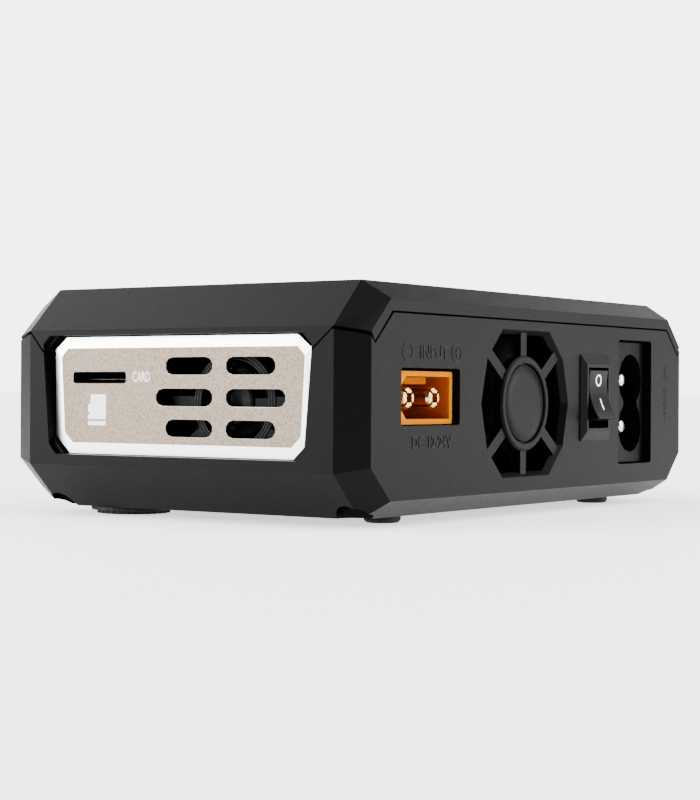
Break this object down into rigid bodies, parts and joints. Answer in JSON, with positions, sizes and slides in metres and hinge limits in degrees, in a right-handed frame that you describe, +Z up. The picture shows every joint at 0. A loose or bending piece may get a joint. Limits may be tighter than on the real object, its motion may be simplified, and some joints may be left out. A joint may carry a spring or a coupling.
{
  "type": "balance battery charger",
  "caption": "Flat eight-sided battery charger case with vented end plates, fan grille, DC input, mains inlet and rocker switch, battery and balance outputs, screen and scroll wheel.",
  "frame": {"origin": "on the ground under the feet, at the middle of the overall box", "axes": "+Z up; +Y out of the input side with the mains inlet; +X out of the end with the card slot; the long way runs along X"},
  "size_m": [0.11, 0.0758, 0.0377],
  "materials": {
    "case": "fine grain, moulded",
    "plate": "champagne, sandblasted, bright cut edge",
    "fan": "smooth, moulded",
    "amber_nylon": "satin, slightly translucent",
    "gold_contact": "gold plated",
    "inlet": "satin",
    "nickel_contact": "nickel plated",
    "rocker": "satin",
    "header": "satin",
    "stamped_steel": "stamped, plated",
    "tongue": "smooth",
    "window": "polished black",
    "module": "smooth",
    "wheel": "knurled",
    "board": "solder mask",
    "ferrite": "ferrite core",
    "sleeve": "sleeved can",
    "copper": "enamelled winding",
    "sink": "extruded",
    "rubber_foot": "moulded rubber",
    "screw": "plated"
  },
  "bodies": {
    "case": {"top_shell": "case", "bottom_shell": "case", "end_plate_right": "plate", "end_plate_left": "plate", "fan_1_frame": "fan", "fan_2_frame": "fan", "dc_input_housing": "amber_nylon", "output_housing": "amber_nylon", "dc_input_pin_1": "gold_contact", "dc_input_pin_2": "gold_contact", "output_socket_1": "gold_contact", "output_socket_2": "gold_contact", "ac_inlet_housing": "inlet", "ac_inlet_pin_1": "nickel_contact", "ac_inlet_pin_2": "nickel_contact", "switch_housing": "inlet", "switch_terminal_1": "nickel_contact", "switch_terminal_2": "nickel_contact", "balance_header": "header", "balance_pin_1": "nickel_contact", "balance_pin_2": "nickel_contact", "balance_pin_3": "nickel_contact", "balance_pin_4": "nickel_contact", "balance_pin_5": "nickel_contact", "balance_pin_6": "nickel_contact", "balance_pin_7": "nickel_contact", "usb_shell": "stamped_steel", "usb_tongue": "tongue", "card_socket": "stamped_steel", "wheel_bracket": "stamped_steel", "display_window": "window", "display_module": "module", "tact_switch": "inlet", "main_board": "board", "power_board": "board", "transformer": "ferrite", "capacitor_1": "sleeve", "capacitor_2": "sleeve", "inductor": "copper", "heatsink": "sink", "foot_rear_left": "rubber_foot", "foot_front_left": "rubber_foot", "foot_rear_right": "rubber_foot", "foot_front_right": "rubber_foot", "screw_rear_left": "screw", "screw_rear_right": "screw", "screw_front_left": "screw", "screw_front_right": "screw"},
    "fan_1_rotor": {"fan_1_rotor": "fan"},
    "fan_2_rotor": {"fan_2_rotor": "fan"},
    "rocker": {"switch_rocker": "rocker"},
    "wheel": {"scroll_wheel": "wheel"},
    "key": {"back_button": "rocker"}
  },
  "joints": [
    {"name": "fan_1_spin", "type": "hinge", "parent": "case", "child": "fan_1_rotor", "pos_m": [0.0067, 0.0258, 0.01845], "axis": [0, 1, 0], "continuous": true},
    {"name": "fan_2_spin", "type": "hinge", "parent": "case", "child": "fan_2_rotor", "pos_m": [0.0456, 0.009, 0.01845], "axis": [1, 0, 0], "continuous": true},
    {"name": "power_rocker", "type": "hinge", "parent": "case", "child": "rocker", "pos_m": [-0.0172, 0.034, 0.0194], "axis": [-1, 0, 0], "range_deg": [0, 24]},
    {"name": "wheel_spin", "type": "hinge", "parent": "case", "child": "wheel", "pos_m": [0.033, 0.006, 0.03235], "axis": [1, 0, 0], "continuous": true},
    {"name": "key_press", "type": "slide", "parent": "case", "child": "key", "axis": [0, 0, -1], "range_m": [0, 0.0005], "stiffness_N_per_m": 600, "springref_m": -0.0003}
  ]
}
